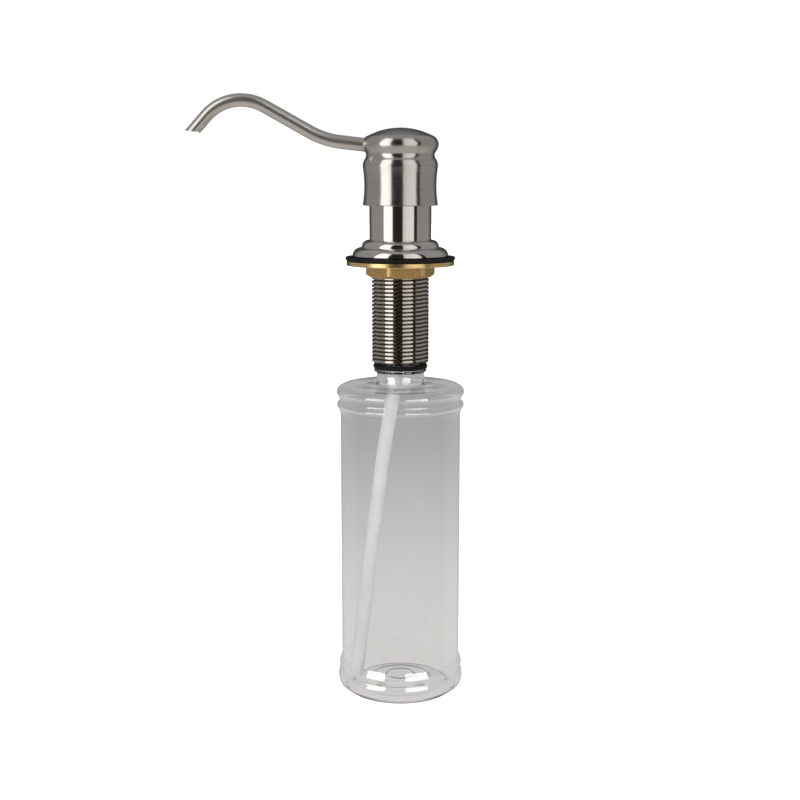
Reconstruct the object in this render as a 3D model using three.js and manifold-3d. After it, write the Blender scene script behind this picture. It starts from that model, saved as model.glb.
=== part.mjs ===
// Deck-mounted soap pump: a pressed head with a swan-neck spout stands on a flanged, threaded shank
// that passes through a sink deck, and a clear bottle screws into the shank from below.
// Millimetres, +Z up. The origin is on the pump's axis at the deck plane, the gasket's underside.
// The spout points along -X.

import * as THREE from "three";
import { mergeVertices } from "three/addons/utils/BufferGeometryUtils.js";
import Module from "manifold-3d";

const wasm = await Module();
wasm.setup();

// ---------- Driving dimensions ----------

const GAP = 0.3; // clearance between neighbouring pieces

// Deck clamp: flange and gasket above the deck plane, washer and nut below it.
const GASKET = { outer: 25.2, lip: 24.9, bore: 13.6, thick: 1.6 };
const FLANGE = { bottom: GASKET.thick + GAP, outer: 22.1, step: 5.8, upper: 17.8, top: 9.2 };
const WASHER = { outer: 24.8, thick: 2.0, edge: 0.25 };
const NUT = { flats: 28.6, corner: 16.05, height: 5.2, chamfer: 1.3, turn: -19, bore: 13.5 };

// G 3/4 pipe thread on the shank.
const THREAD = { major: 13.22, minor: 12.06, pitch: 1.814 };
const SHANK = { bottom: -47.8, bore: 10.8, spigot: 12.5, spigotTop: 18.8, threadTop: 1.3 };

// Sleeve that the head slides over.
const SLEEVE = { outer: 14.2, inner: 12.8, seat: 4.6, top: 30.1 };

// Bottle, its screwed neck and the sealing ring on it.
const SEAL = { section: 1.65, ring: 11.1, z: -49.85 };
const NECK = { outer: 9.3, bore: 8.0, top: -37.4, collar: 12.5, collarTop: -51.8, throat: 11.2 };
const NECK_THREAD = { pitch: 3.0, turns: 2.5, section: 0.95, start: -39.1 };
const BOTTLE = { radius: 28.15, wall: 1.2, shoulder: -58.0, base: -205.4, standing: 24.2 };

// Pump: a barrel that hangs in the shank, with a ball valve and the dip tube under it.
const BARREL = { outer: 8.5, bore: 7.1, flange: 12.3, top: 23.2, ledge: -19.6 };
const INLET = { chamber: 3.3, throat: 2.0, coneTop: -24.1, coneBottom: -25.5, ball: 2.78, ballZ: -23.42 };
const SOCKET = { outer: 5.0, bore: 3.65, top: -27.1, bottom: -36.6 };
const DIP_TUBE = { outer: 3.3, inner: 2.4 };
const COLLAR = { lip: 14.1, skirt: 12.4, cavity: 10.6, hole: 4.5, thick: 1.5 };
const GUIDE = { rim: 9.8, rimThick: 1.2, bottom: 16.1 };
const RIM_GASKET = { inner: 9.0, top: 20.9 };
const RETAINER = { hole: 1.8, thick: 1.0 };

// Plunger: hollow stem, piston and spring.
const STEM = { outer: 4.0, bore: 1.8, bottom: 4.6, top: 49.8, foot: 5.0, footTop: 6.3 };
const STOP = { radius: 6.4, bottom: 13.6, top: 15.8 };
const CUP = { bottom: 6.6, top: 13.3, hub: 5.2, waist: 0.4, play: 0.15 };
const OUTLET = { chamber: 2.9, coneTop: 43.5, coneBottom: 42.1, ball: 2.38, ballZ: 43.82 };
const SPRING = { radius: 5.6, wire: 0.5, bottom: -17.5, top: 3.8, turns: 6 };

// Head and spout.
const HEAD = { skirt: 17.15, waist: 16.45, bottom: 24.9, bead: 42.5, dome: 59.7, bore: 15.2, ceiling: 45.3 };
const DOME_EDGE = { radius: 11.9, z: 57.4 };
const CORE = { radius: 12.0, pocket: 12.4, bottom: 45.6, top: 55.9 };
const STEM_SOCKET = { radius: 4.3, top: 50.1, channelTop: 52.3 };
const SPOUT_SEAL = { outer: 3.95, seat: 4.25, from: 9.5, to: 10.6 };
const SPOUT = { outer: 3.0, inner: 2.1, clearance: 0.35 };
const SPOUT_ROUTE = [
  { x: -6.5, z: 50.9, bend: 0 },
  { x: -34.6, z: 54.2, bend: 38 },
  { x: -76.5, z: 77.5, bend: 21.4 },
  { x: -98.2, z: 54.4, bend: 0 },
];
const SPOUT_TIP = { x: -94.0, z: 58.05, tilt: -6 };

// Facets round each kind of turned piece.
const COARSE = 16;
const MEDIUM = 20;
const FINE = 28;

// ---------- Colours ----------

const material = (color, roughness, metalness, opacity = 1) =>
  new THREE.MeshStandardMaterial({ color, roughness, metalness, opacity, transparent: opacity < 1 });

const brushedNickel = () => material(0x9c9690, 0.32, 1);
const platedNickel = () => material(0x8d8883, 0.15, 1);
const brass = () => material(0xc79a4a, 0.35, 1);
const stainless = () => material(0xb8b8ba, 0.2, 1);
const blackRubber = () => material(0x141416, 0.6, 0);
const whitePlastic = () => material(0xe9e9e4, 0.5, 0);
const tubePlastic = () => material(0xdededa, 0.35, 0, 0.8);
const clearPlastic = () => material(0xdfe3e4, 0.05, 0, 0.3);

// ---------- Geometry helpers ----------

const degrees = THREE.MathUtils.degToRad;

// A profile point: radius and height.
const at = (r, z) => new THREE.Vector2(r, z);

// Profile points from a list of [radius, height] pairs.
const corners = (...pairs) => pairs.map(([r, z]) => at(r, z));

// Points on a circular arc of a profile, angles in degrees from the outward direction.
function arc(centreR, centreZ, radius, from, to, steps) {
  const points = [];
  for (let i = 0; i <= steps; i++) {
    const angle = degrees(from + ((to - from) * i) / steps);
    points.push(at(centreR + radius * Math.cos(angle), centreZ + radius * Math.sin(angle)));
  }
  return points;
}

// Points on a smooth curve through the given profile points.
const smooth = (points, steps) => new THREE.SplineCurve(points).getPoints(steps);

// A solid turned about Z from a closed profile, or from one that starts and ends on the axis.
function turned(profile, segments) {
  const outline = THREE.ShapeUtils.area(profile) > 0 ? profile : [...profile].reverse();
  const onAxis = outline[0].x === 0 && outline.at(-1).x === 0;
  const closed = onAxis ? outline : [...outline, outline[0].clone()];
  return new THREE.LatheGeometry(closed, segments).rotateX(Math.PI / 2);
}

// A plain ring between two radii and two heights.
const ring = (inner, outer, bottom, top, segments) =>
  turned(corners([inner, bottom], [outer, bottom], [outer, top], [inner, top]), segments);

// A circular cross-section, hollow when an inner radius is given.
function roundSection(outer, inner, sides) {
  const circle = (radius, turn) => {
    const points = [];
    for (let i = 0; i < sides; i++) {
      const angle = (turn * 2 * Math.PI * i) / sides;
      points.push(at(radius * Math.cos(angle), radius * Math.sin(angle)));
    }
    return points;
  };
  const section = new THREE.Shape(circle(outer, 1));
  if (inner > 0) section.holes.push(new THREE.Path(circle(inner, -1)));
  return section;
}

// A bar or tube of a given section along a curve.
const swept = (section, path, steps) =>
  new THREE.ExtrudeGeometry(section, { extrudePath: path, steps, curveSegments: 1 });

// A right-hand helix about Z that starts at height z and climbs one pitch a turn.
class Helix extends THREE.Curve {
  constructor(radius, pitch, turns, z) {
    super();
    Object.assign(this, { radius, pitch, turns, z });
  }
  getPoint(t, target = new THREE.Vector3()) {
    const angle = 2 * Math.PI * this.turns * t;
    const height = this.z + this.pitch * this.turns * t;
    return target.set(this.radius * Math.cos(angle), this.radius * Math.sin(angle), height);
  }
}

function toSolid(geometry) {
  const bare = geometry.clone();
  bare.deleteAttribute("normal");
  bare.deleteAttribute("uv");
  const merged = mergeVertices(bare, 1e-4);
  return new wasm.Manifold(
    new wasm.Mesh({
      numProp: 3,
      vertProperties: merged.getAttribute("position").array,
      triVerts: new Uint32Array(merged.index.array),
    }),
  );
}

function toGeometry(solid) {
  const { vertProperties, triVerts } = solid.getMesh();
  const geometry = new THREE.BufferGeometry();
  geometry.setAttribute("position", new THREE.BufferAttribute(vertProperties, 3));
  geometry.setIndex(new THREE.BufferAttribute(triVerts, 1));
  geometry.computeVertexNormals();
  return geometry;
}

const piece = (name, geometry, finish) => {
  const mesh = new THREE.Mesh(geometry, finish);
  mesh.name = name;
  return mesh;
};

// ---------- Deck clamp ----------

function deckGasket() {
  const { outer, lip, bore, thick } = GASKET;
  return turned(corners([bore, 0], [lip, 0], [outer, 0], [outer, thick], [bore, thick]), FINE);
}

function flange() {
  const { bottom, outer, step, upper, top } = FLANGE;
  const lowerRound = step - bottom;
  const upperRound = top - step - 0.3;
  const seatWall = SLEEVE.outer + GAP;
  return turned(
    [
      at(SLEEVE.inner, bottom),
      ...arc(outer - lowerRound, bottom, lowerRound, 0, 90, 4),
      ...arc(upper - upperRound, top - upperRound, upperRound, 0, 90, 4),
      at(seatWall, top),
      at(seatWall, SLEEVE.seat),
      at(SLEEVE.inner, SLEEVE.seat),
    ],
    FINE,
  );
}

function lockWasher() {
  const { outer, thick, edge } = WASHER;
  const top = -GAP;
  const bottom = top - thick;
  return turned(
    corners(
      [GASKET.bore, bottom],
      [outer - edge, bottom],
      [outer, bottom + edge],
      [outer, top],
      [GASKET.bore, top],
    ),
    FINE,
  );
}

function lockNut() {
  const { flats, corner, height, chamfer, turn, bore } = NUT;
  const top = -GAP - WASHER.thick - GAP;
  const bottom = top - height;
  const hexagon = new THREE.CylinderGeometry(flats / Math.sqrt(3), flats / Math.sqrt(3), height, 6);
  hexagon.rotateX(Math.PI / 2).rotateZ(degrees(turn)).translate(0, 0, (top + bottom) / 2);
  const turnedBlank = turned(
    corners(
      [0, bottom - 1],
      [corner - 3 * chamfer, bottom - 1],
      [corner, bottom + chamfer],
      [corner, top + 1],
      [0, top + 1],
    ),
    FINE,
  );
  const hole = turned(corners([0, bottom - 2], [bore, bottom - 2], [bore, top + 2], [0, top + 2]), FINE);
  return toGeometry(toSolid(hexagon).intersect(toSolid(turnedBlank)).subtract(toSolid(hole)));
}

// ---------- Threaded shank and sleeve ----------

// A bar with a V thread: one crest helix and one root helix, closed by a fan at each end.
function threadedBar(top, bottom) {
  const perTurn = COARSE;
  const turns = Math.ceil((top - bottom) / THREAD.pitch) + 1;
  const count = turns * perTurn;
  const positions = [];
  const faces = [];
  const put = (radius, step, drop) => {
    const angle = (-2 * Math.PI * step) / perTurn;
    const height = top - (THREAD.pitch * step) / perTurn - drop;
    positions.push(radius * Math.cos(angle), radius * Math.sin(angle), height);
  };
  for (let i = 0; i <= count; i++) put(THREAD.major, i, 0);
  for (let i = 0; i <= count; i++) put(THREAD.minor, i, THREAD.pitch / 2);
  const crest = (i) => i;
  const root = (i) => count + 1 + i;
  const wall = (a, b, c, d) => faces.push(a, b, c, a, c, d);
  for (let i = 0; i < count; i++) wall(crest(i), crest(i + 1), root(i + 1), root(i));
  for (let i = 0; i < count - perTurn; i++) {
    wall(root(i), root(i + 1), crest(i + 1 + perTurn), crest(i + perTurn));
  }
  const topCentre = positions.push(0, 0, top) / 3 - 1;
  const bottomCentre = positions.push(0, 0, top - THREAD.pitch * (turns + 0.5)) / 3 - 1;
  const topLoop = [];
  for (let i = 0; i <= perTurn; i++) topLoop.push(crest(i));
  topLoop.push(root(0));
  const bottomLoop = [];
  for (let i = count - perTurn; i <= count; i++) bottomLoop.push(root(i));
  bottomLoop.push(crest(count));
  topLoop.forEach((v, i) => faces.push(topCentre, topLoop[(i + 1) % topLoop.length], v));
  bottomLoop.forEach((v, i) => faces.push(bottomCentre, v, bottomLoop[(i + 1) % bottomLoop.length]));
  const geometry = new THREE.BufferGeometry();
  geometry.setAttribute("position", new THREE.Float32BufferAttribute(positions, 3));
  geometry.setIndex(faces);
  return geometry;
}

function threadedShank() {
  const { bottom, bore, spigot, spigotTop, threadTop } = SHANK;
  const outside = THREAD.major + 0.5;
  const envelope = turned(
    corners(
      [0, bottom],
      [THREAD.minor, bottom],
      [outside, bottom + outside - THREAD.minor],
      [outside, threadTop],
      [0, threadTop],
    ),
    COARSE,
  );
  const upper = turned(
    corners(
      [0, threadTop - 1],
      [bore + 0.5, threadTop - 1],
      [spigot, threadTop],
      [spigot, spigotTop],
      [0, spigotTop],
    ),
    COARSE,
  );
  const hole = turned(
    corners([0, bottom - 2], [bore, bottom - 2], [bore, spigotTop + 2], [0, spigotTop + 2]),
    COARSE,
  );
  const bar = toSolid(threadedBar(threadTop + 2 * THREAD.pitch, bottom));
  return toGeometry(bar.intersect(toSolid(envelope)).add(toSolid(upper)).subtract(toSolid(hole)));
}

function sleeve() {
  const { outer, inner, seat, top } = SLEEVE;
  return turned(
    corners([inner, seat + GAP], [outer, seat + GAP], [outer, top - 0.5], [outer - 0.5, top], [inner, top]),
    FINE,
  );
}

// ---------- Bottle ----------

function neckSeal() {
  return turned(arc(SEAL.ring, SEAL.z, SEAL.section, 0, 315, 7), MEDIUM);
}

// Outside of the bottle from the neck's mouth down to the standing ring.
function bottleOutside() {
  const { radius, shoulder, base, standing } = BOTTLE;
  const { outer, top, collar, collarTop, throat } = NECK;
  return [
    at(outer, top),
    at(outer, collarTop),
    at(collar, collarTop),
    at(collar, collarTop - 1.2),
    at(throat, collarTop - 1.9),
    at(throat, shoulder + 2.0),
    at(throat + 1.4, shoulder + 1.1),
    ...smooth(
      corners(
        [radius - 1.3, shoulder],
        [radius + 0.9, shoulder - 1.2],
        [radius + 1.75, shoulder - 3.4],
        [radius + 0.45, shoulder - 6.5],
        [radius + 1.55, shoulder - 9.1],
        [radius + 0.6, shoulder - 11.5],
        [radius, shoulder - 13.2],
      ),
      9,
    ),
    ...smooth(
      corners(
        [radius, base + 16.2],
        [radius + 1.25, base + 11.8],
        [radius + 1.05, base + 9.2],
        [radius + 1.71, base + 5.6],
        [radius + 0.95, base + 2.5],
        [standing + 1.6, base],
      ),
      8,
    ),
    at(standing, base),
    at(standing - 2.6, base + 1.6),
    at(0, base + 2.7),
  ];
}

// Inside of the bottle from the floor up to the mouth.
function bottleInside() {
  const { radius, wall, shoulder, base, standing } = BOTTLE;
  const inner = radius - wall;
  return [
    at(0, base + 4.2),
    at(standing - 3.4, base + 3.2),
    at(standing, base + 1.8),
    at(inner, base + 3.2),
    at(inner + 1.4, base + 5.9),
    at(inner + 1.0, base + 11.5),
    at(inner, base + 16.2),
    at(inner, shoulder - 13.2),
    at(inner + 1.3, shoulder - 9.2),
    at(inner + 0.25, shoulder - 6.5),
    at(inner + 1.4, shoulder - 3.6),
    at(inner, shoulder - 1.3),
    at(NECK.throat, shoulder - 0.2),
    at(NECK.throat - 1.4, shoulder + 1.4),
    at(NECK.throat - 1.4, NECK.collarTop - 2.0),
    at(NECK.bore, NECK.collarTop - 1.0),
    at(NECK.bore, NECK.top),
  ];
}

function bottle() {
  const shell = turned([...bottleOutside(), ...bottleInside()], FINE);
  const { pitch, turns, section, start } = NECK_THREAD;
  const helix = new Helix(NECK.outer + 0.1, pitch, turns, start - pitch * turns);
  const ridge = swept(roundSection(section, 0, 5), helix, turns * 12);
  return toGeometry(toSolid(shell).add(toSolid(ridge)));
}

// ---------- Pump ----------

function pumpCollar() {
  const { lip, skirt, cavity, hole, thick } = COLLAR;
  const seat = SLEEVE.top + GAP;
  const bottom = BARREL.top + GAP + 0.1;
  const plateBottom = seat - 0.4;
  return turned(
    corners(
      [hole, plateBottom],
      [cavity, plateBottom],
      [cavity, bottom],
      [skirt, bottom],
      [skirt, seat],
      [lip, seat],
      [lip, seat + thick - 0.4],
      [lip - 0.4, seat + thick],
      [hole, seat + thick],
    ),
    MEDIUM,
  );
}

function pumpHousing() {
  const { outer, bore, flange: rim, top, ledge } = BARREL;
  return turned(
    corners(
      [rim, top - 2],
      [rim, top],
      [bore, top],
      [bore, ledge],
      [INLET.chamber, ledge],
      [INLET.chamber, INLET.coneTop],
      [INLET.throat, INLET.coneBottom],
      [INLET.throat, SOCKET.top],
      [SOCKET.bore, SOCKET.top],
      [SOCKET.bore, SOCKET.bottom],
      [SOCKET.outer, SOCKET.bottom],
      [SOCKET.outer, SOCKET.top - 0.5],
      [outer, INLET.coneTop],
      [outer, top - 2],
    ),
    MEDIUM,
  );
}

function housingGasket() {
  const bottom = SHANK.spigotTop + GAP;
  return ring(RIM_GASKET.inner, COLLAR.skirt, bottom, RIM_GASKET.top, MEDIUM);
}

function stemGuide() {
  const { rim, rimThick, bottom } = GUIDE;
  const hole = STEM.outer + GAP;
  const plug = BARREL.bore - GAP;
  const seat = BARREL.top + GAP;
  const top = seat + rimThick;
  return turned(
    corners([hole, bottom], [plug, bottom], [plug, seat], [rim, seat], [rim, top], [hole, top]),
    COARSE,
  );
}

function valveRetainer() {
  const bottom = BARREL.ledge + GAP;
  return ring(RETAINER.hole, BARREL.bore - GAP, bottom, bottom + RETAINER.thick, COARSE);
}

const inletBall = () => new THREE.SphereGeometry(INLET.ball, 12, 8).translate(0, 0, INLET.ballZ);

// The tube leans away from the socket and runs to the foot of the bottle's wall.
function dipTube() {
  const route = new THREE.CatmullRomCurve3([
    new THREE.Vector3(0, 0, SOCKET.top - 0.4),
    new THREE.Vector3(0, 0, SOCKET.bottom + 1),
    new THREE.Vector3(-3.7, 0, -63.9),
    new THREE.Vector3(-8.9, 0, -97.9),
    new THREE.Vector3(-14.6, 0, -142.9),
    new THREE.Vector3(-21.3, 0, -200.3),
  ]);
  return swept(roundSection(DIP_TUBE.outer, DIP_TUBE.inner, 10), route, 16);
}

// ---------- Plunger ----------

function pistonStem() {
  const { outer, bore, bottom, top, foot, footTop } = STEM;
  return turned(
    corners(
      [bore, bottom],
      [foot, bottom],
      [foot, footTop],
      [outer, footTop],
      [outer, STOP.bottom],
      [STOP.radius, STOP.bottom],
      [STOP.radius, STOP.top],
      [outer, STOP.top],
      [outer, top],
      [OUTLET.chamber, top],
      [OUTLET.chamber, OUTLET.coneTop],
      [bore, OUTLET.coneBottom],
    ),
    COARSE,
  );
}

// A two-lipped cup: it touches the barrel at both ends and is waisted between them.
function pistonCup() {
  const { bottom, top, hub, waist, play } = CUP;
  const lip = BARREL.bore - play;
  const hole = STEM.outer + GAP;
  return turned(
    corners(
      [hole, bottom + 0.8],
      [hub, bottom + 0.8],
      [hub + 0.8, bottom],
      [lip, bottom],
      [lip - waist, bottom + 1.8],
      [lip - waist, top - 1.8],
      [lip, top],
      [hole, top],
    ),
    MEDIUM,
  );
}

function returnSpring() {
  const { radius, wire, bottom, top, turns } = SPRING;
  const coil = new Helix(radius, (top - bottom) / turns, turns, bottom);
  return swept(roundSection(wire, 0, 5), coil, turns * 10);
}

const outletBall = () => new THREE.SphereGeometry(OUTLET.ball, 12, 8).translate(0, 0, OUTLET.ballZ);

// ---------- Head and spout ----------

// The spout's centre line: straight legs joined by bends of a given radius.
function spoutRoute() {
  const points = [];
  SPOUT_ROUTE.forEach(({ x, z, bend }, i) => {
    const here = new THREE.Vector3(x, 0, z);
    if (!bend) {
      points.push(here);
      return;
    }
    const [before, after] = [SPOUT_ROUTE[i - 1], SPOUT_ROUTE[i + 1]];
    const back = new THREE.Vector3(before.x - x, 0, before.z - z).normalize();
    const ahead = new THREE.Vector3(after.x - x, 0, after.z - z).normalize();
    const half = back.angleTo(ahead) / 2;
    const centre = back.clone().add(ahead).normalize().multiplyScalar(bend / Math.sin(half)).add(here);
    const start = back.multiplyScalar(bend / Math.tan(half)).add(here).sub(centre);
    const end = ahead.multiplyScalar(bend / Math.tan(half)).add(here).sub(centre);
    const sweep = start.angleTo(end);
    const steps = 6;
    for (let k = 0; k <= steps; k++) {
      const t = k / steps;
      const spoke = start.clone().multiplyScalar(Math.sin((1 - t) * sweep) / Math.sin(sweep));
      spoke.addScaledVector(end, Math.sin(t * sweep) / Math.sin(sweep));
      points.push(spoke.add(centre));
    }
  });
  return new THREE.CatmullRomCurve3(points, false, "centripetal");
}

function spoutTube() {
  const bar = toSolid(swept(roundSection(SPOUT.outer, SPOUT.inner, 10), spoutRoute(), 22));
  const below = new THREE.BoxGeometry(40, 20, 20).translate(0, 0, -10);
  below.rotateY(degrees(-SPOUT_TIP.tilt)).translate(SPOUT_TIP.x, 0, SPOUT_TIP.z);
  return toGeometry(bar.subtract(toSolid(below)));
}

// A bar along the spout's first leg, between two distances from the axis.
function spoutAxisBar(radius, from, to, sides) {
  const [inner, bend] = SPOUT_ROUTE;
  const slope = (bend.z - inner.z) / (inner.x - bend.x);
  const height = (distance) => inner.z + slope * (distance + inner.x);
  const path = new THREE.LineCurve3(
    new THREE.Vector3(-from, 0, height(from)),
    new THREE.Vector3(-to, 0, height(to)),
  );
  return swept(roundSection(radius, 0, sides), path, 1);
}

function headShell() {
  const { skirt, waist, bottom, bead, dome, bore, ceiling } = HEAD;
  const rise = dome - DOME_EDGE.z;
  const domeRadius = (DOME_EDGE.radius ** 2 + rise ** 2) / (2 * rise);
  const domeAngle = THREE.MathUtils.radToDeg(Math.acos(DOME_EDGE.radius / domeRadius));
  const barrel = new THREE.QuadraticBezierCurve(
    at(skirt, bottom),
    at(2 * waist - skirt, (bottom + bead) / 2),
    at(skirt, bead),
  );
  const shell = turned(
    [
      at(bore, bottom),
      ...barrel.getPoints(6),
      ...smooth(
        corners(
          [skirt - 0.05, bead + 1.0],
          [skirt - 1.55, bead + 5.0],
          [skirt + 0.25, bead + 9.8],
          [skirt - 1.4, bead + 13.1],
          [DOME_EDGE.radius, DOME_EDGE.z],
        ),
        11,
      ),
      ...arc(0, dome - domeRadius, domeRadius, domeAngle, 90, 3).slice(1),
      at(0, CORE.top + GAP),
      at(CORE.pocket, CORE.top + GAP),
      at(CORE.pocket, ceiling),
      at(bore, ceiling),
    ],
    FINE,
  );
  const hole = toSolid(spoutAxisBar(SPOUT.outer + SPOUT.clearance, 8, 22, 12));
  return toGeometry(toSolid(shell).subtract(hole));
}

function headCore() {
  const { radius, bottom, top } = CORE;
  const socket = STEM_SOCKET;
  const channel = STEM.bore;
  const plug = turned(
    corners(
      [socket.radius, bottom],
      [radius, bottom],
      [radius, top],
      [0, top],
      [0, socket.channelTop],
      [channel, socket.channelTop],
      [channel, socket.top],
      [socket.radius, socket.top],
    ),
    MEDIUM,
  );
  const spoutSocket = toSolid(spoutAxisBar(SPOUT.outer + SPOUT.clearance, 6.2, 15, 12));
  const sealSeat = toSolid(spoutAxisBar(SPOUT_SEAL.seat, SPOUT_SEAL.from - GAP, 15, 12));
  const passage = toSolid(spoutAxisBar(1.0, 0.5, 8, 8));
  return toGeometry(toSolid(plug).subtract(spoutSocket).subtract(sealSeat).subtract(passage));
}

function spoutSeal() {
  const { outer, from, to } = SPOUT_SEAL;
  const outside = toSolid(spoutAxisBar(outer, from, to, 12));
  const inside = toSolid(spoutAxisBar(SPOUT.outer + 0.2, 9, 12, 12));
  return toGeometry(outside.subtract(inside));
}

// ---------- Assembly ----------

const soapPump = new THREE.Group();
soapPump.add(
  piece("deck_gasket", deckGasket(), blackRubber()),
  piece("flange", flange(), brushedNickel()),
  piece("sleeve", sleeve(), brushedNickel()),
  piece("threaded_shank", threadedShank(), platedNickel()),
  piece("lock_washer", lockWasher(), brass()),
  piece("lock_nut", lockNut(), brass()),
  piece("neck_seal", neckSeal(), blackRubber()),
  piece("bottle", bottle(), clearPlastic()),
  piece("pump_collar", pumpCollar(), whitePlastic()),
  piece("pump_housing", pumpHousing(), whitePlastic()),
  piece("housing_gasket", housingGasket(), blackRubber()),
  piece("stem_guide", stemGuide(), whitePlastic()),
  piece("valve_retainer", valveRetainer(), whitePlastic()),
  piece("dip_tube", dipTube(), tubePlastic()),
  piece("inlet_ball", inletBall(), stainless()),
  piece("piston_stem", pistonStem(), whitePlastic()),
  piece("piston_cup", pistonCup(), blackRubber()),
  piece("return_spring", returnSpring(), stainless()),
  piece("outlet_ball", outletBall(), stainless()),
  piece("head_shell", headShell(), brushedNickel()),
  piece("head_core", headCore(), whitePlastic()),
  piece("spout_tube", spoutTube(), brushedNickel()),
  piece("spout_seal", spoutSeal(), blackRubber()),
);

export default soapPump;
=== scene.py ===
"""Looks for the deck-mounted soap pump: brushed head and spout, turned flange, threaded shank, brass washer
and nut, clear bottle, dip tube, and the pump inside. Every piece is meshed finely over its CAD node's shape,
save that the bottle's wall and the sealing ring are thinner. The pieces' sizes are millimetres in the frame's
own axes: +Z up the pump's axis, spout to -X, z = 0 at the deck plane. The camera and lights are in metres."""

import math
from types import SimpleNamespace as Size

import bpy
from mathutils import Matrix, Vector


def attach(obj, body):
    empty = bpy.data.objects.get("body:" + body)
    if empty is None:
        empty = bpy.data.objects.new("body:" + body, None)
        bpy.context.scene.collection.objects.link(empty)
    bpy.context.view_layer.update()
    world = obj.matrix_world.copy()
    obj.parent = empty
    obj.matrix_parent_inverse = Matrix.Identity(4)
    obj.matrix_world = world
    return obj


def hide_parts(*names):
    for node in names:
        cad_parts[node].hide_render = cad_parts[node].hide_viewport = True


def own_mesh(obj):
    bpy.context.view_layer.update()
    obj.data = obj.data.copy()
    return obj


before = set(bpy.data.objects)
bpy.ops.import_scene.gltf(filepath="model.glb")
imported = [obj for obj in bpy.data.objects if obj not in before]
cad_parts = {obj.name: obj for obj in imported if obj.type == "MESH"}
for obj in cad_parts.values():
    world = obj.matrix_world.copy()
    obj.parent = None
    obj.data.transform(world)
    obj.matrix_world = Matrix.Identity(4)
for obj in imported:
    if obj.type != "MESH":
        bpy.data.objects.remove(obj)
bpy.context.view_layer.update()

MM = 0.001
GAP = 0.3

# ---------- Sizes ----------

GASKET = Size(outer=25.2, lip=24.9, bore=13.6, thick=1.6)
FLANGE = Size(bottom=1.9, outer=22.1, step=5.8, upper=17.8, top=9.2, bore=12.8, seat=4.6, seat_wall=14.5)
WASHER = Size(outer=24.8, bore=13.6, top=-0.3, bottom=-2.3)
NUT = Size(flats=28.6, corner=16.05, top=-2.6, bottom=-7.8, chamfer=1.3, turn=-109, bore=13.5)
THREAD = Size(major=13.22, minor=12.06, pitch=1.814)
SHANK = Size(bottom=-47.8, bore=10.8, spigot=12.5, spigot_top=18.8, thread_top=1.3)
SLEEVE = Size(outer=14.2, inner=12.8, bottom=4.9, top=30.1)
SEAL = Size(section=1.2, ring=11.5, z=-49.15)
NECK = Size(outer=9.3, bore=8.0, top=-37.4, collar=12.3, collar_top=-50.5, throat=11.1)
NECK_THREAD = Size(pitch=3.0, turns=2.5, half_width=0.95, height=1.05, low_end=-46.6)
BOTTLE = Size(radius=28.15, wall=0.55, shoulder=-58.0, base=-205.4, standing=24.2)
BARREL = Size(outer=8.5, bore=7.1, rim=12.3, top=23.2, ledge=-19.6)
INLET = Size(chamber=3.3, throat=2.0, cone_top=-24.1, cone_bottom=-25.5, ball=2.78, ball_z=-23.42)
SOCKET = Size(outer=5.0, bore=3.65, top=-27.1, bottom=-36.6)
DIP_TUBE = Size(outer=3.3, inner=2.4)
COLLAR = Size(lip=14.1, skirt=12.4, cavity=10.6, hole=4.5, seat=30.4, top=31.9, bottom=23.6)
GUIDE = Size(rim=9.8, bottom=16.1, seat=23.5, top=24.7)
RIM_GASKET = Size(inner=9.0, outer=12.4, bottom=19.1, top=20.9)
RETAINER = Size(hole=1.8, outer=6.8, bottom=-19.3, top=-18.3)
STEM = Size(outer=4.0, bore=1.8, bottom=4.6, top=49.8, foot=5.0, foot_top=6.3)
STOP = Size(radius=6.4, bottom=13.6, top=15.8)
CUP = Size(bottom=6.6, top=13.3, hub=5.2, lip=6.95, hole=4.3)
OUTLET = Size(chamber=2.9, cone_top=43.5, cone_bottom=42.1, ball=2.38, ball_z=43.82)
SPRING = Size(radius=5.6, wire=0.5, bottom=-17.5, top=3.8, turns=6)
HEAD = Size(skirt=17.15, waist=16.45, bottom=24.9, bead=42.5, dome=59.7, bore=15.2, ceiling=45.3)
DOME_EDGE = (11.9, 57.4)  # radius, z
CORE = Size(radius=12.0, pocket=12.4, bottom=45.6, top=55.9, socket=4.3, socket_top=50.1, channel_top=52.3)
SPOUT_SEAL = Size(outer=3.95, inner=3.2, start=9.5, end=10.6)
SPOUT = Size(root=3.08, tip=2.9, wall=0.75)
SPOUT_ROUTE = [(-6.5, 50.9, 0), (-34.6, 54.2, 38), (-76.5, 77.5, 21.4)]  # x, z, bend radius
SPOUT_TIP = Size(x=-94.0, z=58.05, tilt=6)
DIP_ROUTE = [(0, -27.5), (0, -35.6), (-3.7, -63.9), (-8.9, -97.9), (-14.6, -142.9), (-21.3, -200.3)]  # x, z

TURNED_SEGMENTS = 160
THREAD_ROWS_PER_TURN = 20
RIPPLES = Size(count=46, spacing=0.3, height=0.11, rate=1.35, fade_in=20, inner=slice(2, 34))
FLUTES = Size(count=40, depth=0.25)
BARREL_RIBS = Size(count=4, height=0.18)

# ---------- Profiles and curves ----------


def arc(centre_r, centre_z, radius, start, end, steps):
    """Points (r, z) on a circular arc, angles in degrees from the outward direction."""
    angles = [math.radians(start + (end - start) * i / steps) for i in range(steps + 1)]
    return [(centre_r + radius * math.cos(a), centre_z + radius * math.sin(a)) for a in angles]


def spline(points, steps):
    """A smooth curve through the points, with that many steps between each pair."""
    ends = [points[0], *points, points[-1]]
    out = []
    for before, a, b, after in zip(ends, ends[1:], ends[2:], ends[3:]):
        for i in range(steps):
            t = i / steps
            out.append(tuple(
                0.5 * (2 * q + (r - p) * t + (2 * p - 5 * q + 4 * r - s) * t**2
                       + (3 * q - p - 3 * r + s) * t**3)
                for p, q, r, s in zip(before, a, b, after)
            ))
    return [*out, points[-1]]


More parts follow.
